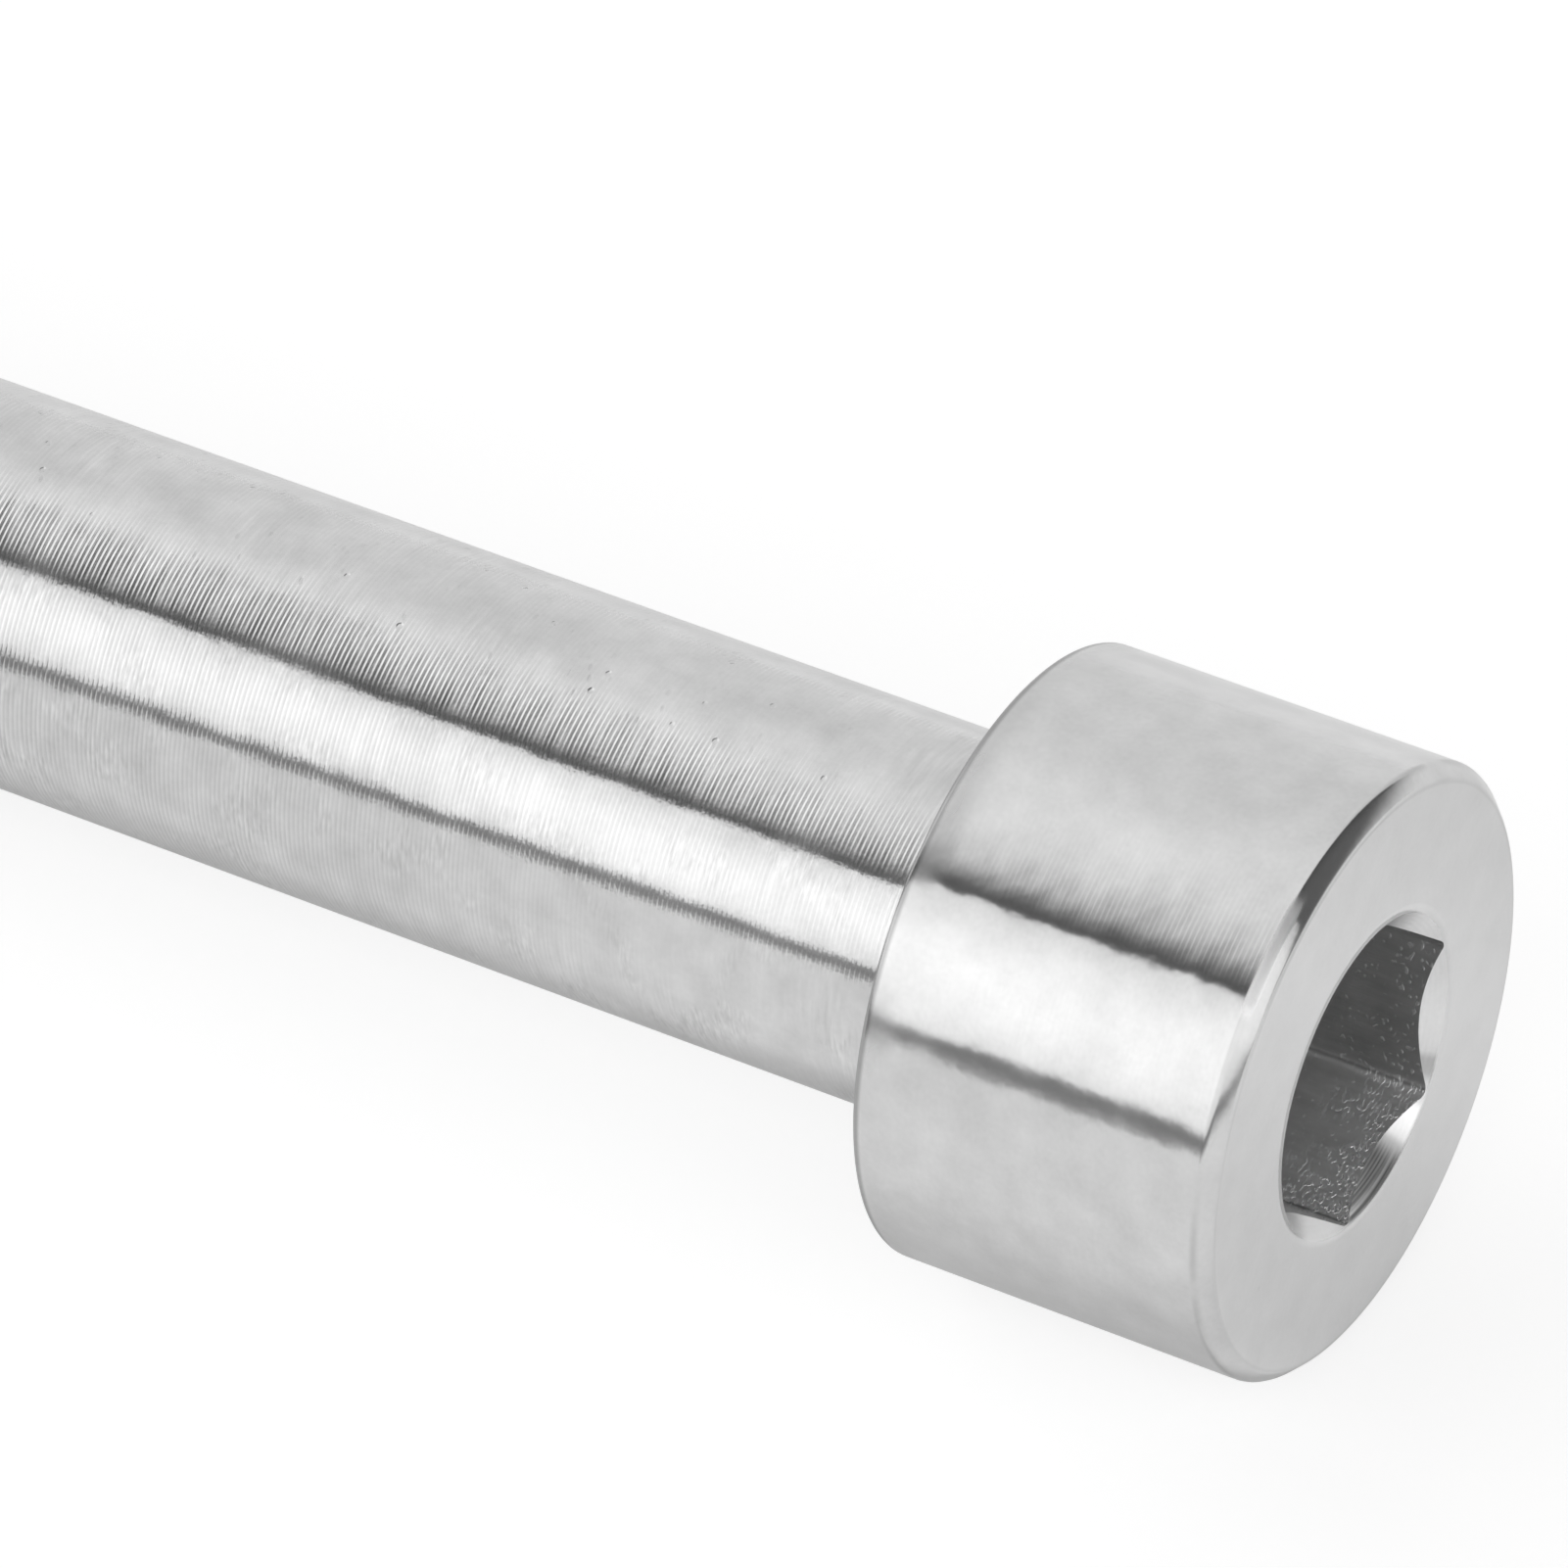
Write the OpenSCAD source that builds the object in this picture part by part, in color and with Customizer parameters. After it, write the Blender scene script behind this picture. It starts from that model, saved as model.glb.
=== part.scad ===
// Bolt with a turned cylindrical head, a hexagon socket and a part-threaded shank.
// It stands on its head. The bearing face under the head is at z = 0, the face with the
// socket lies below it and the threaded tip points up. All lengths are in millimetres.

/* [Head] */
// Diameter of the turned head
head_d = 13; // [11:0.1:16]
// Height of the head, from its face to the bearing face
head_h = 8; // [7:0.1:12]
// Chamfer round the face of the head
face_chamfer = 0.3; // [0.1:0.05:0.8]
// Radius of the head's edge at the bearing face
seat_edge_r = 0.12; // [0.06:0.02:0.6]

/* [Socket] */
// Width across the flats of the hexagon
socket_af = 6; // [5:0.05:7]
// Depth of the flat walls, from the face of the head
socket_depth = 4.4; // [3:0.1:5.5]
// Amount that the punch rounds off each corner of the hexagon
corner_relief = 0.035; // [0.02:0.005:0.1]
// Width of the ring that the lead-in leaves outside the rounded corners
lead_in_ring = 0.02; // [0.01:0.005:0.2]
// Full angle of the conical lead-in
lead_in_angle = 100; // [80:1:130]
// Depth of the shallow cone in the floor of the socket
floor_dish = 0.3; // [0.1:0.05:0.8]

/* [Shank] */
// Length of the bolt under its head
bolt_l = 60; // [50:1:80]
// Diameter of the plain shank
shank_d = 8; // [7:0.1:9]
// Radius of the fillet between the shank and the bearing face
fillet_r = 0.5; // [0.3:0.05:0.8]

/* [Thread] */
// Length of the full thread, measured from the tip
thread_l = 28; // [16:1:34]
// Rise of the thread in one turn
pitch = 1.25; // [1:0.05:1.5]
// Depth of the crest under the surface of the shank
crest_gap = 0.04; // [0.02:0.01:0.1]
// Length over which the grooves fade out into the shank
runout_l = 2; // [1:0.1:5]
// Depth of the tip's flat end under the root of the thread
tip_gap = 0.12; // [0:0.02:0.4]

/* [Hidden] */
$fn = 96;
steel = [0.78, 0.78, 0.78];

head_r = head_d / 2;
face_z = -head_h;
shank_r = shank_d / 2;
shank_l = bolt_l - thread_l - runout_l;
cut_margin = 1;

// Six flats, whose corners are rounded off to a circle just inside the lead-in's rim
corner_r = socket_af / 2 / cos(30) - corner_relief;
lead_in_r = corner_r + lead_in_ring;
lead_in_depth = lead_in_r / tan(lead_in_angle / 2);

// A symmetric 60 degree thread with flats of an eighth of the pitch on its crests and a
// quarter of it in its roots
thread_angle = 60;
crest_flat = pitch / 8;
root_flat = pitch / 4;
flank_rise = (pitch - crest_flat - root_flat) / 2;
crest_r = shank_r - crest_gap;
thread_depth = flank_rise / tan(thread_angle / 2);
tip_r = crest_r - thread_depth - tip_gap;

// The helix starts inside the shank and ends past the tip, which trims it
turn_steps = 36;
helix_start = shank_l - 1.5 * pitch;
helix_steps = ceil((bolt_l + pitch - helix_start) / pitch * turn_steps);

// Points along an arc, both ends among them
function arc(centre, r, from, to, steps = 6) =
    [for (i = [0:steps])
        let (a = from + (to - from) * i / steps) centre + r * [cos(a), sin(a)]];

// Share of the full depth that the groove has at one step of the helix
function groove_share(step) =
    let (z = helix_start + pitch * step / turn_steps)
    max(0, min(1, (z - shank_l) / runout_l));

// Root, root, crest and crest: the axial section of one pitch, as radius and height
function thread_section(step) =
    let (root_r = crest_r - thread_depth * groove_share(step))
    [
        [root_r, 0],
        [root_r, root_flat],
        [crest_r, root_flat + flank_rise],
        [crest_r, pitch - flank_rise]
    ];

// Head and plain shank in one turned profile
module blank() {
    rotate_extrude()
        polygon(concat(
            [[0, face_z], [head_r - face_chamfer, face_z], [head_r, face_z + face_chamfer]],
            arc([head_r - seat_edge_r, -seat_edge_r], seat_edge_r, 0, 90),
            arc([shank_r + fillet_r, fillet_r], fillet_r, -90, -180),
            [[shank_r, shank_l], [0, shank_l]]
        ));
}

// Outline of the threaded end, with a 45 degree chamfer down to the tip's flat
module tip_envelope() {
    rotate_extrude()
        polygon([
            [0, shank_l - pitch],
            [shank_r, shank_l - pitch],
            [shank_r, bolt_l - shank_r + tip_r],
            [tip_r, bolt_l],
            [0, bolt_l]
        ]);
}

// Threaded rod: each step repeats the section a little higher, and the last point of a
// step is the first point of the step one turn later
module thread_rod() {
    ring = [for (step = [0:helix_steps]) each
        [for (p = thread_section(step))
            let (a = 360 * step / turn_steps)
            [p.x * cos(a), p.x * sin(a), helix_start + pitch * step / turn_steps + p.y]]];
    foot = len(ring);
    top = foot + 1;
    last = helix_steps;
    shared = last - turn_steps;
    ends = [
        [0, 0, helix_start],
        [0, 0, helix_start + pitch * last / turn_steps + pitch / 2]
    ];
    flanks = [for (step = [0:last - 1], p = [0:step < shared ? 3 : 2])
        let (
            low = 4 * step + p,
            low_next = low + 4,
            high = p < 3 ? low + 1 : 4 * (step + turn_steps),
            high_next = p < 3 ? low_next + 1 : high + 4
        ) each [[low, high, high_next], [low, high_next, low_next]]];
    foot_fan = concat(
        [for (step = [0:turn_steps - 1]) [foot, 4 * step, 4 * step + 4]],
        [for (p = [0:2]) [foot, p + 1, p]],
        [[foot, 4 * turn_steps, 3]]
    );
    top_fan = concat(
        [for (step = [shared:last - 1]) [top, 4 * step + 7, 4 * step + 3]],
        [for (p = [0:2]) [top, 4 * last + p, 4 * last + p + 1]],
        [[top, 4 * shared + 3, 4 * last]]
    );
    polyhedron(concat(ring, ends), concat(flanks, foot_fan, top_fan));
}

// Thread with its run-out at the shank and its chamfered tip
module thread() {
    intersection() {
        thread_rod();
        tip_envelope();
    }
}

// Hexagon socket with its conical lead-in and slightly dished floor
module socket() {
    translate([0, 0, face_z - cut_margin])
        intersection() {
            rotate([0, 0, 30])
                cylinder(h = socket_depth + cut_margin, d = socket_af / cos(30), $fn = 6);
            cylinder(h = socket_depth + cut_margin, r = corner_r);
        }
    translate([0, 0, face_z])
        cylinder(h = lead_in_depth, r1 = lead_in_r, r2 = 0);
    translate([0, 0, face_z + socket_depth])
        cylinder(h = floor_dish, r1 = socket_af / 2 - corner_relief, r2 = 0);
}

module bolt() {
    color(steel)
        difference() {
            union() {
                blank();
                thread();
            }
            socket();
        }
}

bolt();
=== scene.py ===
import bpy
import math
from mathutils import Matrix, Vector


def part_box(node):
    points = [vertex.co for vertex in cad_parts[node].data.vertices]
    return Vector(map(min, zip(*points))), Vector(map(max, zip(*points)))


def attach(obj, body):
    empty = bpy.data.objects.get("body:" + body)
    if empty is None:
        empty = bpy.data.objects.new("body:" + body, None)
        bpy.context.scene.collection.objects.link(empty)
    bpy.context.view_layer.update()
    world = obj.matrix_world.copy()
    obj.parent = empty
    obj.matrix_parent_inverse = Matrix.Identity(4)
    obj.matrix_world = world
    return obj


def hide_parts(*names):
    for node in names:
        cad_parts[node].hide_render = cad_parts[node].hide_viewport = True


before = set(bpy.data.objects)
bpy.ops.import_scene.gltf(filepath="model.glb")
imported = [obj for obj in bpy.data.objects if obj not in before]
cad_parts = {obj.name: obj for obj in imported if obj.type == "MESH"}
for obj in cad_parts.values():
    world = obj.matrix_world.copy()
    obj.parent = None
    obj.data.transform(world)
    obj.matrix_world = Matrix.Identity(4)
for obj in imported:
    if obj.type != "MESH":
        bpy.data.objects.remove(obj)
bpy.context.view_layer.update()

# The bolt is modelled in millimetres, standing on its head: z = 0 is the bearing face
mm = 0.001
boltBox = [[v / mm for v in corner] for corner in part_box("bolt")]
headRadius = boltBox[1][0]
faceZ = boltBox[0][2]
tipZ = boltBox[1][2]


class Sock:
    # a node socket that adds its Math nodes when it is used in an expression
    def __init__(self, sheet, out):
        self.sheet = sheet
        self.out = out

    def calc(self, operation, *others):
        return self.sheet.math(operation, self, *others)

    def __add__(self, other):
        return self.calc("ADD", other)

    def __radd__(self, other):
        return self.sheet.math("ADD", other, self)

    def __sub__(self, other):
        return self.calc("SUBTRACT", other)

    def __rsub__(self, other):
        return self.sheet.math("SUBTRACT", other, self)

    def __mul__(self, other):
        return self.calc("MULTIPLY", other)

    def __rmul__(self, other):
        return self.sheet.math("MULTIPLY", other, self)

    def __truediv__(self, other):
        return self.calc("DIVIDE", other)

    def __pow__(self, other):
        return self.calc("POWER", other)


class NodeSheet:
    def __init__(self, tree):
        self.tree = tree
        tree.nodes.clear()

    def node(self, kind, settings=None, **inputs):
        made = self.tree.nodes.new("ShaderNode" + kind)
        for key, value in (settings or {}).items():
            setattr(made, key, value)
        for key, value in inputs.items():
            numbered = key[0] == "i" and key[1:].isdigit()
            self.feed(made.inputs[int(key[1:]) if numbered else key], value)
        return made

    def feed(self, socket, value):
        if isinstance(value, Sock):
            self.tree.links.new(value.out, socket)
        elif isinstance(value, bpy.types.NodeSocket):
            self.tree.links.new(value, socket)
        else:
            socket.default_value = value

    def math(self, operation, *values):
        made = self.node("Math", {"operation": operation})
        for socket, value in zip(made.inputs, values):
            self.feed(socket, value)
        return Sock(self, made.outputs[0])

    def rise(self, value, low, high):
        # 0 below low, 1 above high, smooth between them
        made = self.node("MapRange", {"interpolation_type": "SMOOTHSTEP"})
        for name, part in (("Value", value), ("From Min", low), ("From Max", high)):
            self.feed(made.inputs[name], part)
        return Sock(self, made.outputs["Result"])

    def near(self, value, centre, reach):
        # 1 close to the centre, 0 beyond the reach, smooth between its two distances
        return 1 - self.rise((value - centre).calc("ABSOLUTE"), *reach)

    def within(self, value, start, end):
        # 0 outside, 1 inside, smooth over the start pair and over the end pair
        return self.rise(value, *start) * (1 - self.rise(value, *end))

    def blend(self, factor, first, second):
        # numbers only: first at 0, second at 1
        return first + factor * (second - first)

    def split(self, vector):
        made = self.node("SeparateXYZ", Vector=vector)
        return [Sock(self, out) for out in made.outputs]

    def join(self, x, y, z):
        made = self.node("CombineXYZ", X=x, Y=y, Z=z)
        return Sock(self, made.outputs[0])

    def stretched(self, vector, factors):
        made = self.node("VectorMath", {"operation": "MULTIPLY"}, i0=vector, i1=factors)
        return made.outputs[0]

    def noise(self, vector, scale, detail=2.0, roughness=0.5, twist=0.0):
        # runs about 0, mostly between -0.25 and 0.25
        made = self.node(
            "TexNoise",
            Vector=vector,
            Scale=scale,
            Detail=detail,
            Roughness=roughness,
            Distortion=twist,
        )
        return Sock(self, made.outputs[0]) - 0.5

    def cells(self, vector, scale):
        made = self.node("TexVoronoi", Vector=vector, Scale=scale)
        pick = self.split(made.outputs["Color"])[0]
        return Sock(self, made.outputs["Distance"]), pick


def newMaterial(name):
    made = bpy.data.materials.new(name)
    made.use_nodes = True
    return made, NodeSheet(made.node_tree)


# The camera of the photograph, fitted to the outlines of the head, the shank and the socket.
# Azimuth and elevation are where it stands, seen from the bolt; the roll lays the bolt down.
# The centre of the head's face lies this many millimetres right, down and away in its view.
# What is nearer or farther than the last two distances, in metres, isn't drawn.
shot = {
    "azimuth": 1.66,
    "elevation": -23.80,
    "roll": -70.24,
    "lens": 323.3,
    "faceRight": 11.511,
    "faceDown": 5.799,
    "faceAway": 278.525,
    "sensor": 36.0,
    "nearest": 0.01,
    "farthest": 10.0,
}


def placeCamera():
    turn = (
        Matrix.Rotation(math.radians(shot["azimuth"]), 3, "Z")
        @ Matrix.Rotation(math.radians(90 - shot["elevation"]), 3, "X")
        @ Matrix.Rotation(math.radians(shot["roll"]), 3, "Z")
    )
    faceCentre = Vector((0, 0, faceZ))
    seen = Vector((shot["faceRight"], -shot["faceDown"], -shot["faceAway"]))
    bpy.ops.object.camera_add(location=(faceCentre - turn @ seen) * mm)
    camera = bpy.context.object
    camera.name = "shotCamera"
    camera.rotation_euler = turn.to_euler()
    camera.data.lens = shot["lens"]
    camera.data.sensor_width = shot["sensor"]
    camera.data.clip_start = shot["nearest"]
    camera.data.clip_end = shot["farthest"]
    bpy.context.scene.camera = camera


# The light tent round the bolt. Angles are in degrees: across is measured round the bolt's
# axis from the camera's side, height is the angle above the bearing face, and drop is how far
# a direction lies under the pivot height. A pair says where a soft change starts and ends.
tent = {
    "level": 1.0,
    "gradient": 0.08,
    "gradientHeights": (4, 44),
    "pivotHeight": 24.0,
    "stripLevel": 1.62,
    "stripEdgeLevel": 1.15,
    "stripPeak": 0.44,
    "stripGradient": 0.3,
    "stripLow": -37.6,
    "stripLowCurve": 0.0012,
    "stripLowSoftness": 1.0,
    "stripHigh": 12.3,
    "stripHighCurve": 0.006,
    "stripHighFlare": 0.35,
    "stripHighSoftness": 0.7,
    "flareDrop": 50.0,
    "flagStartSoftness": 1.0,
    "flagEnd": 16.2,
    "flagSlant": 2.8,
    "flagEndSoftness": (-6, 7),
    "flagSoftness": 0.15,
    "flagWidth": 11.0,
    "flagLowWidth": 6.0,
    "flagWidthDrops": (-10, 0),
    "flagLimit": 122.0,
    "flagLevel": 0.08,
    "flagLowLevel": 0.16,
    "flagLevelDrops": (10, 60),
    "seamLevel": 0.3,
    "seamStart": (-14, -4),
    "seamEnd": (-2, 2),
    "bounceLevel": 0.2,
    "bounceEnd": (44, 86),
    "glintLevel": 0.4,
    "glintHeights": (24, 40),
    "glintStart": (24, 44),
    "sideLevel": -0.04,
    "sideStart": (70, 95),
}


def makeTent():
    t = tent
    world = bpy.data.worlds.new("lightTent")
    bpy.context.scene.world = world
    world.use_nodes = True
    s = NodeSheet(world.node_tree)
    x, y, z = s.split(s.node("TexCoord").outputs["Generated"])
    facing = math.radians(shot["azimuth"])
    toward = x * math.sin(facing) - y * math.cos(facing)
    side = x * math.cos(facing) + y * math.sin(facing)
    across = s.math("ARCTAN2", side, toward) * math.degrees(1)
    height = z.calc("ARCSINE") * math.degrees(1)
    drop = t["pivotHeight"] - height
    fall = s.math("MAXIMUM", drop, 0)
    upward = s.rise(height, *t["gradientHeights"]) - 0.5
    # the bright strip, brightest near its middle
    low = t["stripLow"] + fall * fall * t["stripLowCurve"]
    high = t["stripHigh"] + fall * fall * t["stripHighCurve"]
    high = high + s.math("MAXIMUM", drop - t["flareDrop"], 0) * t["stripHighFlare"]
    lowSoft = t["stripLowSoftness"]
    highSoft = t["stripHighSoftness"]
    inStrip = s.rise(across, low - lowSoft, low + lowSoft)
    inStrip = inStrip * (1 - s.rise(across, high - highSoft, high + highSoft))
    along = (across - low) / (high - low)
    hump = 1 - ((along - t["stripPeak"]) / (1 - t["stripPeak"])) ** 2
    strip = s.blend(hump, t["stripEdgeLevel"], t["stripLevel"]) * (1 + upward * t["stripGradient"])
    # the black flag above the strip; the chamfer of the head mirrors its wide lower end
    narrowed = s.rise(drop, *t["flagWidthDrops"]) * (t["flagWidth"] - t["flagLowWidth"])
    least = high + t["flagWidth"] - narrowed
    flagEnd = s.math("MAXIMUM", t["flagEnd"] + drop * t["flagSlant"], least)
    flagEnd = s.math("MINIMUM", flagEnd, t["flagLimit"])
    soft = fall * t["flagSoftness"]
    endLow, endHigh = t["flagEndSoftness"]
    inFlag = s.rise(across, high - t["flagStartSoftness"], high)
    inFlag = inFlag * (1 - s.rise(across, flagEnd + endLow - soft, flagEnd + endHigh + soft))
    flag = s.blend(s.rise(drop, *t["flagLevelDrops"]), t["flagLevel"], t["flagLowLevel"])
    # the thin dark seam below the strip
    gap = (across - low) * (1 - z * z).calc("SQRT")
    inSeam = s.within(gap, t["seamStart"], t["seamEnd"])
    # the tent is brighter towards the camera and below, with a glint high above the strip
    glint = s.rise(height, *t["glintHeights"]) * s.rise(across, *t["glintStart"]) * t["glintLevel"]
    bounce = (1 - s.rise(across, *t["bounceEnd"])) * (glint + t["bounceLevel"])
    bounce = bounce + s.rise(across, *t["sideStart"]) * t["sideLevel"]
    level = s.blend(inFlag, t["level"] + bounce, flag)
    level = s.blend(inSeam, level, t["seamLevel"])
    level = s.blend(inStrip, level, strip) * (1 + upward * t["gradient"])
    seen = Sock(s, s.node("LightPath").outputs["Is Camera Ray"])
    glow = s.node("Background", Color=(1, 1, 1, 1), Strength=s.blend(seen, level, 1.0))
    s.node("OutputWorld", Surface=glow.outputs[0])


# A pale table that the lying bolt would touch with its head's rim and its thread. It stands
# upright here, because the bolt is modelled standing on its head. Lengths are in millimetres;
# aside is the place across the bolt, up and down in the photograph.
table = {
    "leanAzimuth": -45.0,
    "size": 900.0,
    "gap": 0.02,
    "paint": 0.9,
    "cameraGlow": 0.75,
    "cameraPaint": 0.36,
    "mirrorGlow": 0.3,
    "mirrorPaint": 0.92,
    "headEnd": (1.5, 5),
    "headShade": 0.42,
    "headReach": 12.5,
    "shankShade": 0.36,
    "shankReach": 6.0,
    "shadeStart": 1.0,
    "faceMargin": 0.5,
    "farShade": 0.16,
    "farStart": (8, 16),
    "farEnd": (22, 60),
    "farFade": 0.75,
}


def contactShade(s):
    # painted shadow: what the steel mirrors is darker close to the bolt, more so beside its head,
    # with painted shade farther out on one side
    t = table
    place = s.stretched(s.node("NewGeometry").outputs["Position"], (1 / mm,) * 3)
    x, y, z = s.split(place)
    aside = (x + y) * math.sqrt(0.5)
    nearHead = 1 - s.rise(z, *t["headEnd"])
    reach = s.blend(nearHead, t["shankReach"], t["headReach"])
    shade = s.blend(nearHead, t["shankShade"], t["headShade"])
    shade = shade * s.rise(z, faceZ - t["faceMargin"], faceZ + t["faceMargin"])
    far = s.rise(aside, *t["farStart"]) * (1 - s.rise(aside, *t["farEnd"]) * t["farFade"])
    near = 1 - s.rise(aside.calc("ABSOLUTE"), t["shadeStart"], reach)
    return 1 - near * shade - far * t["farShade"]


def glowingPaint(s, glow, colour):
    # pale paint that also shines by itself
    shine = s.node("Emission", Color=(1, 1, 1, 1), Strength=glow)
    coat = s.node("BsdfDiffuse", Color=colour)
    return s.node("AddShader", i0=shine.outputs[0], i1=coat.outputs[0]).outputs[0]


def makeTable():
    t = table
    lean = math.radians(t["leanAzimuth"])
    away = Vector((math.cos(lean), math.sin(lean), 0))
    rim = Vector((0, 0, faceZ + bolt["faceChamfer"])) - away * (headRadius + t["gap"])
    crest = Vector((0, 0, tipZ - bolt["tipMargin"])) - away * (bolt["crestRadius"] + t["gap"])
    line = (crest - rim).normalized()
    normal = (away - line * away.dot(line)).normalized()
    turn = normal.to_track_quat("Z", "Y").to_matrix()
    bpy.ops.mesh.primitive_plane_add(size=t["size"] * mm)
    floor = bpy.context.object
    floor.name = "table"
    floor.matrix_world = Matrix.Translation((rim + crest) / 2 * mm) @ turn.to_4x4()
    made, s = newMaterial("paleTable")
    path = s.node("LightPath").outputs
    contact = contactShade(s)
    paint = s.node("BsdfDiffuse", Color=(t["paint"],) * 3 + (1,)).outputs[0]
    mirrored = glowingPaint(s, contact * t["mirrorGlow"], contact * t["mirrorPaint"])
    direct = glowingPaint(s, t["cameraGlow"], (t["cameraPaint"],) * 3 + (1,))
    front = s.node("MixShader", i0=path["Is Glossy Ray"], i1=paint, i2=mirrored).outputs[0]
    front = s.node("MixShader", i0=path["Is Camera Ray"], i1=front, i2=direct).outputs[0]
    clear = s.node("BsdfTransparent").outputs[0]
    behind = s.node("NewGeometry").outputs["Backfacing"]
    whole = s.node("MixShader", i0=behind, i1=front, i2=clear)
    s.node("OutputMaterial", Surface=whole.outputs[0])
    floor.data.materials.append(made)


# The bolt itself. Lengths are in millimetres and angles in degrees.
bolt = {
    "segments": 192,
    "faceChamfer": 0.3,
    "edgeSoftness": 0.08,
    "seatEdge": 0.12,
    "seatSteps": 6,
    "filletRadius": 0.5,
    "filletSteps": 8,
    "shankRadius": 4.0,
    "shankLength": 30.0,
    "runout": 2.0,
    "pitch": 1.25,
    "threadAngle": 60.0,
    "crestRadius": 3.96,
    "tipGap": 0.12,
    "tipSoftness": 0.05,
    "tipMargin": 1.0,
    "threadSteps": 72,
    "threadSoftness": 0.05,
    "weld": 0.0005,
    "socketFlats": 6.0,
    "socketDepth": 4.4,
    "cornerBevel": 0.16,
    "cornerSteps": 4,
    "leadInRadius": 3.449,
    "leadInAngle": 100.0,
    "floorDish": 0.3,
    "dishRim": 0.05,
    "smoothAngle": 30.0,
}
crestFlat = bolt["pitch"] / 8
rootFlat = bolt["pitch"] / 4
flankRise = (bolt["pitch"] - crestFlat - rootFlat) / 2
threadDepth = flankRise / math.tan(math.radians(bolt["threadAngle"] / 2))
tipRadius = bolt["crestRadius"] - threadDepth - bolt["tipGap"]


def only(piece):
    bpy.ops.object.select_all(action="DESELECT")
    piece.select_set(True)
    bpy.context.view_layer.objects.active = piece


def arc(centreR, centreZ, radius, start, end, steps):
    # (radius, z) points along an arc, without its first point
    points = []
    for i in range(1, steps + 1):
        a = math.radians(start + (end - start) * i / steps)
        points.append((centreR + radius * math.cos(a), centreZ + radius * math.sin(a)))
    return points


def turned(name, profile):
    # a solid turned on the lathe: a ring drawn from one (radius, z) to the next
    first = profile[0]
    bpy.ops.object.select_all(action="DESELECT")
    bpy.ops.mesh.primitive_circle_add(
        vertices=bolt["segments"], radius=first[0], location=(0, 0, first[1]), fill_type="NGON"
    )
    piece = bpy.context.object
    piece.name = name
    bpy.ops.object.transform_apply()
    bpy.ops.object.mode_set(mode="EDIT")
    bpy.ops.mesh.select_mode(type="EDGE")
    bpy.ops.mesh.select_all(action="SELECT")
    radius, z = first
    for nextRadius, nextZ in profile[1:]:
        bpy.ops.mesh.extrude_edges_move(TRANSFORM_OT_translate={"value": (0, 0, nextZ - z)})
        scale = nextRadius / radius
        bpy.ops.transform.resize(value=(scale, scale, 1), center_override=(0, 0, nextZ))
        radius, z = nextRadius, nextZ
    bpy.ops.mesh.edge_face_add()
    bpy.ops.mesh.select_all(action="SELECT")
    bpy.ops.mesh.normals_make_consistent(inside=False)
    bpy.ops.object.mode_set(mode="OBJECT")
    return piece


def combine(piece, other, operation):
    only(piece)
    step = piece.modifiers.new("combine", "BOOLEAN")
    step.operation = operation
    step.solver = "EXACT"
    step.object = other
    bpy.ops.object.modifier_apply(modifier=step.name)
    bpy.data.objects.remove(other)


def headAndShank():
    # the chamfer meets the face and the side in two softened edges
    b = bolt
    soft = b["edgeSoftness"]
    chamfer = b["faceChamfer"]
    profile = [(headRadius - chamfer - soft, faceZ)]
    profile += [(headRadius - chamfer - soft * 0.3, faceZ + soft * 0.12)]
    profile += [(headRadius - chamfer + soft * 0.5, faceZ + soft * 0.6)]
    profile += [(headRadius - soft * 0.6, faceZ + chamfer - soft * 0.5)]
    profile += [(headRadius - soft * 0.12, faceZ + chamfer + soft * 0.3)]
    profile += [(headRadius, faceZ + chamfer + soft)]
    edge = b["seatEdge"]
    profile += [(headRadius, -edge)]
    profile += arc(headRadius - edge, -edge, edge, 0, 90, b["seatSteps"])
    fillet = b["filletRadius"]
    profile += [(b["shankRadius"] + fillet, 0)]
    profile += arc(b["shankRadius"] + fillet, fillet, fillet, -90, -180, b["filletSteps"])
    profile += [(b["shankRadius"], b["shankLength"])]
    return turned("bolt", profile)


def tipEnvelope():
    b = bolt
    soft = b["tipSoftness"]
    low = b["shankLength"] - b["pitch"]
    chamferZ = tipZ - (b["shankRadius"] - tipRadius)
    return turned("tip", [
        (b["shankRadius"], low),
        (b["shankRadius"], chamferZ),
        (tipRadius + soft, tipZ - soft),
        (tipRadius - soft, tipZ),
    ])


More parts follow.
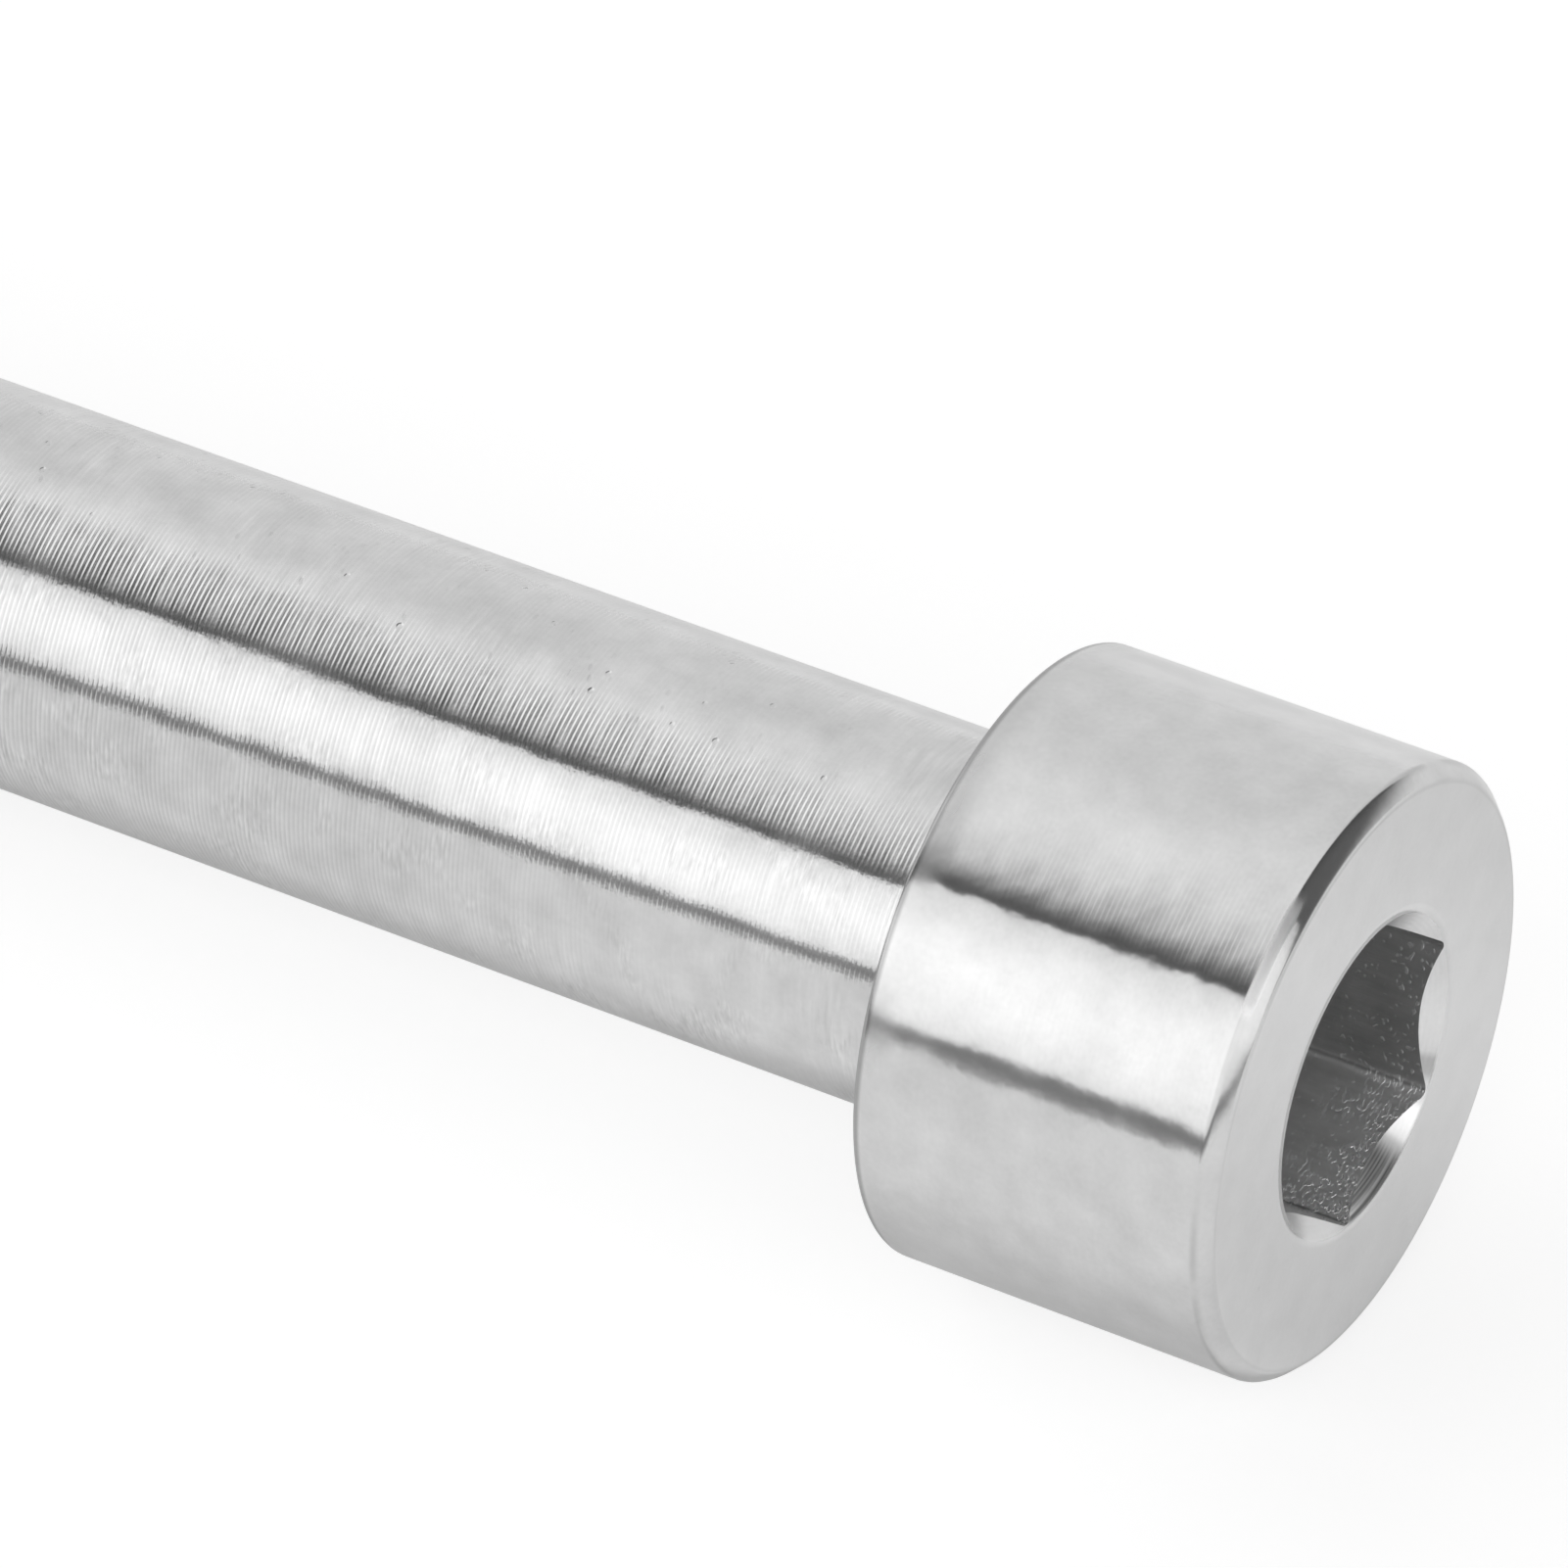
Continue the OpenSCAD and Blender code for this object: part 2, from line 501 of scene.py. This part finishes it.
def threadRod():
    # one pitch of the thread's section, screwed from inside the shank to past the tip
    b = bolt
    start = b["shankLength"] - 1.5 * b["pitch"]
    turns = math.ceil((tipZ + b["pitch"] - start) / b["pitch"])
    rootRadius = b["crestRadius"] - threadDepth
    dip = b["threadSoftness"]
    section = [
        (rootRadius + dip, 0),
        (rootRadius, rootFlat * 0.25),
        (rootRadius, rootFlat * 0.75),
        (rootRadius + dip, rootFlat),
        (b["crestRadius"] - dip / 2, rootFlat + flankRise),
        (b["crestRadius"], rootFlat + flankRise + crestFlat * 0.3),
        (b["crestRadius"], rootFlat + flankRise + crestFlat * 0.7),
        (b["crestRadius"] - dip / 2, b["pitch"] - flankRise),
        (rootRadius + dip, b["pitch"]),
    ]
    bpy.ops.object.select_all(action="DESELECT")
    bpy.ops.mesh.primitive_circle_add(vertices=3, radius=1, location=(0, 0, 0))
    piece = bpy.context.object
    piece.name = "thread"
    # the section is drawn from a single point, which the circle's three are merged into
    bpy.ops.object.mode_set(mode="EDIT")
    bpy.ops.mesh.select_mode(type="VERT")
    bpy.ops.mesh.select_all(action="SELECT")
    bpy.ops.mesh.merge(type="CENTER")
    bpy.ops.transform.translate(value=(section[0][0], 0, start + section[0][1]))
    for (radius, z), (nextRadius, nextZ) in zip(section, section[1:]):
        bpy.ops.mesh.extrude_vertices_move(
            TRANSFORM_OT_translate={"value": (nextRadius - radius, 0, nextZ - z)}
        )
    bpy.ops.object.mode_set(mode="OBJECT")
    screw = piece.modifiers.new("screw", "SCREW")
    screw.axis = "Z"
    screw.screw_offset = b["pitch"]
    screw.iterations = turns
    screw.steps = b["threadSteps"]
    screw.render_steps = b["threadSteps"]
    screw.use_merge_vertices = False
    only(piece)
    bpy.ops.object.modifier_apply(modifier=screw.name)
    fadeGrooves(piece)
    bpy.ops.object.mode_set(mode="EDIT")
    bpy.ops.mesh.select_all(action="SELECT")
    bpy.ops.mesh.remove_doubles(threshold=b["weld"])
    closeEnd(piece, low=True)
    closeEnd(piece, low=False)
    bpy.ops.mesh.select_all(action="SELECT")
    bpy.ops.mesh.normals_make_consistent(inside=False)
    bpy.ops.object.mode_set(mode="OBJECT")
    return piece


def fadeGrooves(piece):
    # the grooves come up to the crests where they run out into the shank
    b = bolt
    for v in piece.data.vertices:
        radius = math.hypot(v.co.x, v.co.y)
        share = min(1, max(0, (v.co.z - b["shankLength"]) / b["runout"]))
        wanted = b["crestRadius"] - (b["crestRadius"] - radius) * share
        v.co.x *= wanted / radius
        v.co.y *= wanted / radius


def closeEnd(piece, low):
    # a fan from the open end of the helix to the axis; the tip and the shank take it in
    bpy.ops.mesh.select_mode(type="EDGE")
    bpy.ops.mesh.select_all(action="DESELECT")
    bpy.ops.mesh.select_non_manifold()
    bpy.ops.object.mode_set(mode="OBJECT")
    middle = (bolt["shankLength"] + tipZ) / 2
    for edge in piece.data.edges:
        height = piece.data.vertices[edge.vertices[0]].co.z
        edge.select = edge.select and (height < middle) == low
    bpy.ops.object.mode_set(mode="EDIT")
    bpy.ops.mesh.extrude_edges_move(TRANSFORM_OT_translate={"value": (0, 0, 0)})
    bpy.ops.mesh.merge(type="CENTER")


def socketCutter():
    # a hexagonal punch with slightly rounded corners
    b = bolt
    over = 1.0
    depth = b["socketDepth"] + over
    bpy.ops.object.select_all(action="DESELECT")
    bpy.ops.mesh.primitive_cylinder_add(
        vertices=6,
        radius=b["socketFlats"] / 2 / math.cos(math.radians(30)),
        depth=depth,
        location=(0, 0, faceZ - over + depth / 2),
    )
    piece = bpy.context.object
    bpy.ops.object.transform_apply()
    bpy.ops.object.mode_set(mode="EDIT")
    bpy.ops.mesh.select_mode(type="EDGE")
    bpy.ops.mesh.select_all(action="DESELECT")
    bpy.ops.object.mode_set(mode="OBJECT")
    for edge in piece.data.edges:
        ends = [piece.data.vertices[i].co for i in edge.vertices]
        edge.select = abs(ends[0].z - ends[1].z) > depth / 2
    bpy.ops.object.mode_set(mode="EDIT")
    bpy.ops.mesh.bevel(
        offset=b["cornerBevel"], segments=b["cornerSteps"], profile=0.5, affect="EDGES"
    )
    bpy.ops.object.mode_set(mode="OBJECT")
    return piece


def cone(radius, depth, z):
    bpy.ops.object.select_all(action="DESELECT")
    bpy.ops.mesh.primitive_cone_add(
        vertices=bolt["segments"],
        radius1=radius,
        radius2=0,
        depth=depth,
        location=(0, 0, z + depth / 2),
    )
    bpy.ops.object.transform_apply()
    return bpy.context.object


def leadInCutter():
    # the cone starts a little above the face, so that it cuts cleanly
    over = 0.2
    slope = math.tan(math.radians(bolt["leadInAngle"] / 2))
    radius = bolt["leadInRadius"] + over * slope
    return cone(radius, radius / slope, faceZ - over)


def dishCutter():
    # the shallow dish in the floor of the socket
    over = 0.001
    radius = bolt["socketFlats"] / 2 - bolt["dishRim"]
    return cone(radius, bolt["floorDish"], faceZ + bolt["socketDepth"] - over)


def makeBolt():
    piece = headAndShank()
    combine(piece, socketCutter(), "DIFFERENCE")
    combine(piece, leadInCutter(), "DIFFERENCE")
    combine(piece, dishCutter(), "DIFFERENCE")
    print("head, shank and socket are made:", len(piece.data.polygons), "faces")
    thread = threadRod()
    combine(thread, tipEnvelope(), "INTERSECT")
    print("thread is made:", len(thread.data.polygons), "faces")
    combine(piece, thread, "UNION")
    only(piece)
    piece.scale = (mm, mm, mm)
    bpy.ops.object.transform_apply()
    bpy.ops.object.shade_smooth_by_angle(angle=math.radians(bolt["smoothAngle"]))
    evenNormals = piece.modifiers.new("evenNormals", "WEIGHTED_NORMAL")
    evenNormals.keep_sharp = True
    evenNormals.weight = 100
    bpy.ops.object.modifier_apply(modifier=evenNormals.name)
    print("bolt is joined:", len(piece.data.polygons), "faces")
    return piece


# The sides of the head and the shank, as the lathe left them. Lengths are in millimetres and
# slopes in degrees. Heights run along the axis. Turns are degrees round it, and the
# photograph's camera stands near -90. A pair says where a soft change starts and ends.
turnedLook = {
    "grey": 0.59,
    "roughness": 0.16,
    "headRoughness": 0.13,
    "brushed": 0.9,
    "shankStart": (-0.3, 0.3),
    "mottleScale": 0.9,
    "mottle": 0.3,
    "shankMottle": 0.1,
    "speckleScale": 9.0,
    "speckle": 0.09,
    "brushStretch": (0.9, 0.9, 8),
    "brushPatch": 0.3,
    "brushRest": 0.04,
    "headBrush": 0.2,
    "patchScale": 0.45,
    "patchStart": (0.0, 0.2),
    "patchRoughness": 0.04,
    "scuffStretch": (3, 3, 15),
    "scuffScale": 0.8,
    "scuffStart": (-0.02, 0.12),
    "scuff": 0.5,
    "feedPitch": 0.111,
    "feedLean": 0.25,
    "unevenStretch": (0.25, 0.25, 4),
    "uneven": 1.4,
    "raggedStretch": (1.6, 1.6, 6),
    "ragged": 1.3,
    "headSlope": 0.46,
    "headFade": 0.7,
    "headFadeHeights": (-4, -0.8),
    "nearSlope": 4.4,
    "farSlope": 9.6,
    "slopeHeights": (1, 22),
    "grooveShade": 0.075,
    "grooveShadeHeights": (4, 16),
    "wornStart": (-65, -56),
    "wornEnd": (60, 120),
    "wornShare": 0.65,
    "wornShadeShare": 0.8,
    "calmEnd": (-83, -75),
    "calmShare": 0.45,
    "farShade": 0.07,
    "farShadeHeights": (3, 16),
    "grain": 0.0014,
    "wave": 0.006,
    "dentScale": 1.6,
    "dent": 0.007,
    "longNickTurn": (0.4, 0.5, 0.7),
    "longNick": ((0.8, 2.5, 6), 1.0, 0.22, 0.32),
    "smallNick": ((1, 1, 1.6), 1.5, 0.12, 0.2),
    "nickHeights": (-4, 12),
    "nickRest": 0.2,
    "nickDepth": 0.003,
    "nickShade": 0.015,
    "nickRoughness": 0.08,
    "pit": ((1, 1, 1.3), 1.9, 0.24, 0.2),
    "pitHeights": (1, 6),
    "pitRest": 0.04,
    "pitDepth": 0.013,
    "pitShade": 0.012,
    "rimShade": 0.42,
    "rimShadeStart": (-0.21, -0.1),
    "rimShadeEnd": (0.0, 0.01),
    "rimRoughness": 0.12,
    "rimRoughnessStart": (-0.9, -0.3),
    "edgeShade": 0.2,
    "edgeReach": (0.0, 0.11),
    "edgeMottle": (-0.2, 0.1),
    "edgeClearTurn": -88,
    "edgeClearReach": (22, 45),
    "burrRoughness": 0.5,
    "burrPaintedHighlight": 0.65,
    "burrAndHighlightStart": (0.16, 0.24),  # these two are measured from the head's face
    "burrAndHighlightEnd": (0.36, 0.44),
    "burrAndHighlightTurnStart": (-86, -82),
    "burrAndHighlightTurnEnd": (-66, -60),
}
# The head's face, the bearing face, the tip's end and the cone that leads into the socket
facedLook = {
    "grey": 0.645,
    "roughness": 0.2,
    "brushed": 0.8,
    "mottleScale": 1.1,
    "mottle": 0.14,
    "mottleRoughness": 0.05,
    "speckleScale": 9.0,
    "speckle": 0.08,
    "feedPitch": 0.09,
    "unevenScale": 4.0,
    "uneven": 1.5,
    "slope": 0.5,
    "wave": 0.003,
    "nick": ((1, 1, 1), 2.2, 0.05, 0.16),
    "nickDepth": 0.006,
    "nickShade": 0.05,
    "edgeShade": 0.1,
    "edgeInset": 0.04,
    "edgeReach": (0.0, 0.08),
    "coneGrey": 0.7,
    "coneRoughness": 0.12,
    "coneSlope": 2.0,
    "coneSoftness": 0.05,
    "softEdge": 0.19,
    "softSlope": 0.65,
    "brightTurn": 102,
    "brightReach": (5, 9),
    "brightShare": 0.35,
    "darkenedTurn": 81,
    "darkenedReach": (2, 6),
    "darkenedShare": 0.25,
    "paintedShadeTurn": -33,
    "paintedShadeReach": (2, 26),
    "paintedShadeShare": 0.65,
    "scoreStretch": (14, 14, 1),
    "scoredStart": (110, 120),
    "scoredEnd": (145, 152),
    "scoreContrast": 2.4,
    "scoreShade": 0.42,
}
# The walls and the floor of the socket, as the punch left them; the lower walls, on the side of
# -X, have painted light, and painted shade deeper in. Depths are measured from the head's face.
punchedLook = {
    "grey": 0.41,
    "lowPaintedLightGrey": 0.93,
    "metal": 0.95,
    "lowMetal": 0.9,
    "lowEnd": (-0.1, 0.2),
    "roughness": 0.4,
    "smearStretch": (5, 5, 0.7),
    "smearHeight": 0.01,
    "smearShade": 0.3,
    "cloudScale": 1.4,
    "cloud": 0.4,
    "speckStretch": (9, 9, 11),
    "speckStart": (0.22, 0.38),
    "mouthDepths": (0.5, 1.7),
    "mouthSpecks": 0.1,
    "speckHeight": 0.006,
    "speckShine": 0.14,
    "dashStretch": (7, 7, 16),
    "dashTwist": 0.3,
    "dashStart": (0.05, 0.14),
    "beatenDepths": (0.8, 2.2),
    "beatenScale": 1.1,
    "beatenShare": 0.12,
    "beatenStart": (-0.04, 0.1),
    "beatenTurns": (94, 112),
    "beatenRest": 0.45,
    "dashHeight": 0.016,
    "dashShine": 0.7,
    "dashPolish": 0.15,
    "cornerShade": 0.5,
    "cornerReach": (0.0, 0.02),
    "cornerTurn": 0.012,
    "deepDepths": (0.9, 2.2),
    "deepShade": 0.14,
}
# The rolled thread, a little darker in its roots
threadLook = {
    "grey": 0.57,
    "rootGrey": 0.4,
    "crestSoftness": 0.1,
    "brushed": 0.7,
    "mottleScale": 1.3,
    "mottle": 0.2,
    "streakStretch": (1.5, 1.5, 12),
    "streak": 0.15,
    "roughness": 0.2,
    "rootRoughness": 0.15,
    "streakRoughness": 0.05,
    "wave": 0.004,
}


def millimetres(s):
    # the place on the bolt, in millimetres
    return s.stretched(s.node("TexCoord").outputs["Object"], (1 / mm,) * 3)


def radiusAt(s, place):
    x, y = s.split(place)[:2]
    return (x * x + y * y).calc("SQRT")


def angleAt(s, place):
    # in radians round the axis, from +X
    x, y = s.split(place)[:2]
    return s.math("ARCTAN2", y, x)


def nicks(s, place, stretch, scale, share, size):
    # small marks in a share of the cells: 1 in the middle of a mark, 0 from its rim on
    distance, pick = s.cells(s.stretched(place, stretch), scale)
    return s.rise(pick, 1 - share, 1 - share + 0.01) * (1 - s.rise(distance, size * 0.4, size))


def depthOf(slope, pitch):
    # depth in millimetres of a sine groove whose sides reach the slope in degrees
    return math.tan(math.radians(slope)) * pitch / (2 * math.pi)


def steelShader(s, look, grey, roughness, height, metal=1.0):
    bump = s.node("Bump", Strength=1.0, Distance=mm, Height=height)
    face = s.node("BsdfPrincipled", Metallic=metal, Normal=bump.outputs[0])
    s.feed(face.inputs["Base Color"], grey)
    s.feed(face.inputs["Roughness"], roughness)
    if "brushed" in look:
        # brushed metal stretches what it mirrors across its marks, hence the quarter turn
        face.inputs["Anisotropic"].default_value = look["brushed"]
        face.inputs["Anisotropic Rotation"].default_value = 0.25
    s.node("OutputMaterial", Surface=face.outputs[0])


def turnedSteel():
    made, s = newMaterial("turnedSteel")
    look = turnedLook
    place = millimetres(s)
    z = s.split(place)[2]
    angle = angleAt(s, place)
    turn = angle * math.degrees(1)
    onShank = s.rise(z, *look["shankStart"])
    mid = s.noise(place, look["mottleScale"], 3.0)
    fine = s.noise(place, look["speckleScale"], 2.0)
    # the marks are deepest just above the camera's side: the photograph's upper side is worn
    # smooth, and its lower side is calmer too
    worn = s.within(turn, look["wornStart"], look["wornEnd"])
    calm = 1 - s.rise(turn, *look["calmEnd"])
    # feed marks: the tool leaves a short steep side and a long gentle one
    pitch = look["feedPitch"]
    phase = z * (2 * math.pi / pitch) - angle
    groove = 0 - phase.calc("SINE") - (phase * 2).calc("SINE") * look["feedLean"]
    uneven = s.noise(s.stretched(place, look["unevenStretch"]), 1.0, 1.0) * look["uneven"]
    ragged = s.noise(s.stretched(place, look["raggedStretch"]), 1.0, 1.0) * look["ragged"]
    groove = groove * (1 + uneven + ragged)
    headFade = s.rise(z, *look["headFadeHeights"]) * look["headFade"]
    onHead = depthOf(look["headSlope"], pitch) * (1 - headFade)
    away = s.rise(z, *look["slopeHeights"])
    away = s.blend(away, depthOf(look["nearSlope"], pitch), depthOf(look["farSlope"], pitch))
    smoothed = calm * look["calmShare"] + worn * look["wornShare"]
    depth = s.blend(onShank, onHead, away) * (1 - smoothed)
    # nicks, pits and dents
    slant = {"rotation_type": "EULER_XYZ"}
    slanted = s.node("VectorRotate", slant, Vector=place, Rotation=look["longNickTurn"])
    long = nicks(s, slanted.outputs[0], *look["longNick"])
    small = nicks(s, place, *look["smallNick"])
    nick = s.math("MAXIMUM", long, small) * s.rise(z, *look["nickHeights"])
    nick = nick * s.blend(worn, look["nickRest"], 1.0)
    pit = nicks(s, place, *look["pit"]) * s.rise(z, *look["pitHeights"])
    pit = pit * s.blend(worn, look["pitRest"], 1.0)
    dent = s.noise(place, look["dentScale"], 0.5)
    height = groove * depth + fine * onShank * look["grain"] - nick * look["nickDepth"]
    height = height + mid * look["wave"] + dent * look["dent"] - pit * look["pitDepth"]
    # brush marks and scuffs
    brush = s.noise(s.stretched(place, look["brushStretch"]), 1.0, 2.0)
    patch = s.rise(s.noise(place, look["patchScale"], 1.0), *look["patchStart"])
    streaks = brush * (patch * look["brushPatch"] + look["brushRest"])
    streaks = streaks * s.blend(onShank, look["headBrush"], 1.0)
    scuff = s.noise(s.stretched(place, look["scuffStretch"]), 1.0, 1.0)
    scuff = scuff * s.rise(s.noise(place, look["scuffScale"], 1.0), *look["scuffStart"])
    streaks = streaks + scuff * look["scuff"] * onShank * (1 - worn)
    mottle = mid * (onShank * look["shankMottle"] + look["mottle"])
    grey = look["grey"] * (1 + mottle + fine * look["speckle"] + streaks)
    grey = grey - nick * look["nickShade"] - pit * look["pitShade"]
    # painted shade: the head is darker at its back rim and along its front edge
    backRim = s.within(z, look["rimShadeStart"], look["rimShadeEnd"])
    frontEdge = s.near(z, faceZ + bolt["faceChamfer"], look["edgeReach"])
    frontEdge = frontEdge * s.rise(mid, *look["edgeMottle"])
    frontEdge = frontEdge * (1 - s.near(turn, look["edgeClearTurn"], look["edgeClearReach"]))
    grey = grey * (1 - backRim * look["rimShade"] - frontEdge * look["edgeShade"])
    # painted shade: the shank is darker away from the head, above all in its grooves
    grey = grey * (1 - s.rise(z, *look["farShadeHeights"]) * (1 - worn) * look["farShade"])
    grooveShade = s.rise(z, *look["grooveShadeHeights"]) * (1 - worn * look["wornShadeShare"])
    grey = grey * (1 + groove * grooveShade * look["grooveShade"])
    roughness = s.blend(onShank, look["headRoughness"], look["roughness"])
    roughness = roughness + patch * look["patchRoughness"] + nick * look["nickRoughness"]
    headBack = s.rise(z, *look["rimRoughnessStart"]) * (1 - onShank)
    roughness = roughness + headBack * look["rimRoughness"]
    # the front edge is burred over a short stretch, rougher there, with a painted highlight in its
    # colour
    burrAndHighlight = s.within(z - faceZ, look["burrAndHighlightStart"], look["burrAndHighlightEnd"])
    burrAndHighlight = burrAndHighlight * s.within(turn, look["burrAndHighlightTurnStart"], look["burrAndHighlightTurnEnd"])
    roughness = roughness + burrAndHighlight * look["burrRoughness"]
    grey = grey * (1 + burrAndHighlight * look["burrPaintedHighlight"])
    steelShader(s, look, grey, roughness, height)
    return made


def facedSteel():
    made, s = newMaterial("facedSteel")
    look = facedLook
    place = millimetres(s)
    z = s.split(place)[2]
    radius = radiusAt(s, place)
    angle = angleAt(s, place)
    turn = angle * math.degrees(1)
    pitch = look["feedPitch"]
    groove = (radius * (2 * math.pi / pitch) + angle).calc("SINE")
    groove = groove * (1 + s.noise(place, look["unevenScale"], 1.0) * look["uneven"])
    mouth = bolt["leadInRadius"]
    onCone = 1 - s.rise(radius, mouth - look["coneSoftness"], mouth)
    depth = s.blend(onCone, depthOf(look["slope"], pitch), depthOf(look["coneSlope"], pitch))
    mid = s.noise(place, look["mottleScale"], 3.0)
    fine = s.noise(place, look["speckleScale"], 2.0)
    nick = nicks(s, place, *look["nick"])
    height = groove * depth + mid * look["wave"] - nick * look["nickDepth"]
    # the face bends softly into the cone
    bend = (mouth + look["softEdge"] - radius) / look["softEdge"]
    bend = s.math("MINIMUM", s.math("MAXIMUM", bend, 0), 1)
    height = height - bend * bend * (look["softEdge"] * look["softSlope"] / 2)
    # the cone has a painted highlight beside one corner, is darker just short of it and has
    # painted shade round -33 degrees; the punch has scored it beyond, darker on the whole
    bright = s.near(turn, look["brightTurn"], look["brightReach"]) * look["brightShare"]
    darkened = s.near(turn, look["darkenedTurn"], look["darkenedReach"]) * look["darkenedShare"]
    paintedShade = s.near(turn, look["paintedShadeTurn"], look["paintedShadeReach"]) * look["paintedShadeShare"]
    lines = s.noise(s.stretched(s.join(radius, z, angle), look["scoreStretch"]), 1.0, 2.0)
    scored = s.within(turn, look["scoredStart"], look["scoredEnd"])
    scored = scored * (lines * look["scoreContrast"] - look["scoreShade"])
    # painted shade: a thin darker ring round the face's outer edge
    rim = headRadius - bolt["faceChamfer"] - look["edgeInset"]
    edge = s.near(radius, rim, look["edgeReach"])
    grey = s.blend(onCone, look["grey"], look["coneGrey"])
    grey = grey * (1 + mid * look["mottle"] + fine * look["speckle"] - edge * look["edgeShade"])
    grey = (grey - nick * look["nickShade"]) * (1 + onCone * (bright + scored - paintedShade - darkened))
    roughness = look["roughness"] + mid * look["mottleRoughness"] + onCone * look["coneRoughness"]
    steelShader(s, look, grey, roughness, height)
    return made


def punchedSteel():
    made, s = newMaterial("punchedSteel")
    look = punchedLook
    place = millimetres(s)
    x, y, z = s.split(place)
    angle = s.math("ARCTAN2", y, x)
    deep = z - faceZ
    low = 1 - s.rise(x, *look["lowEnd"])
    # bright specks, more of them near the mouth: small bumps with a painted glint in their colour
    dots = s.noise(s.stretched(place, look["speckStretch"]), 1.0, 0.0)
    mouth = (1 - s.rise(deep, *look["mouthDepths"])) * look["mouthSpecks"]
    speckLow, speckHigh = look["speckStart"]
    speck = s.rise(dots, speckLow - mouth, speckHigh - mouth)
    # short dashes where the punch has beaten the lower walls: raised and smoother, with a painted
    # highlight in their colour
    dash = s.noise(s.stretched(place, look["dashStretch"]), 1.0, 0.5, 0.5, look["dashTwist"])
    beaten = (1 - s.rise(deep, *look["beatenDepths"])) * low
    patch = s.noise(place, look["beatenScale"], 1.0) + beaten * look["beatenShare"]
    patch = s.rise(patch, *look["beatenStart"]) * beaten
    side = s.rise(angle * math.degrees(1), *look["beatenTurns"])
    dash = s.rise(dash, *look["dashStart"]) * patch * s.blend(side, look["beatenRest"], 1.0)
    smear = s.noise(s.stretched(place, look["smearStretch"]), 1.0, 3.0)
    cloud = s.noise(place, look["cloudScale"], 3.0)
    height = speck * look["speckHeight"] + dash * look["dashHeight"] + smear * look["smearHeight"]
    # painted shade: a dark line in each corner, six to a turn
    corner = ((angle + look["cornerTurn"]) * (3 / math.pi)).calc("FRACT")
    corner = s.near(corner, 0.5, look["cornerReach"]) * look["cornerShade"]
    # painted light: the lower walls are coloured far lighter than the upper ones
    grey = s.blend(low, look["grey"], look["lowPaintedLightGrey"])
    grey = grey * (1 + smear * look["smearShade"] + cloud * look["cloud"]) * (1 - corner)
    grey = grey + speck * look["speckShine"] + dash * look["dashShine"]
    # painted shade: the lower walls are darker deeper in
    grey = grey * (1 - s.rise(deep, *look["deepDepths"]) * low * look["deepShade"])
    roughness = look["roughness"] - dash * look["dashPolish"]
    metal = s.blend(low, look["metal"], look["lowMetal"])
    steelShader(s, look, grey, roughness, height, metal)
    return made


def rolledThread():
    made, s = newMaterial("rolledThread")
    look = threadLook
    place = millimetres(s)
    outer = bolt["crestRadius"]
    crest = s.rise(radiusAt(s, place), outer - threadDepth, outer - look["crestSoftness"])
    mid = s.noise(place, look["mottleScale"], 3.0)
    streak = s.noise(s.stretched(place, look["streakStretch"]), 1.0, 2.0)
    grey = s.blend(crest, look["rootGrey"], look["grey"])
    grey = grey * (1 + mid * look["mottle"] + streak * look["streak"])
    roughness = look["roughness"] + (1 - crest) * look["rootRoughness"]
    roughness = roughness + streak * look["streakRoughness"]
    steelShader(s, look, grey, roughness, (streak + mid) * look["wave"])
    return made


def dressBolt(piece):
    piece.data.materials.clear()
    for made in (turnedSteel(), facedSteel(), punchedSteel(), rolledThread()):
        piece.data.materials.append(made)
    side, faced, punched, rolled = range(4)
    # a wall's normal lies nearly level, and a flat face's stands nearly upright
    wallTilt = 0.3
    flatTilt = 0.95
    coneEnd = faceZ + 3
    for face in piece.data.polygons:
        x, y, z = [v / mm for v in face.center]
        tilt = abs(face.normal.z)
        inSocket = math.hypot(x, y) < bolt["leadInRadius"] and z < 0
        if inSocket and (tilt < wallTilt or z > coneEnd):
            face.material_index = punched
        elif inSocket or tilt > flatTilt:
            face.material_index = faced
        elif z > bolt["shankLength"]:
            face.material_index = rolled
        else:
            face.material_index = side


placeCamera()
makeTent()
makeTable()
print("camera, light and table are set")
boltPiece = makeBolt()
dressBolt(boltPiece)
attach(boltPiece, "root")
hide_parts("bolt")

bpy.context.scene.view_settings.view_transform = "Standard"
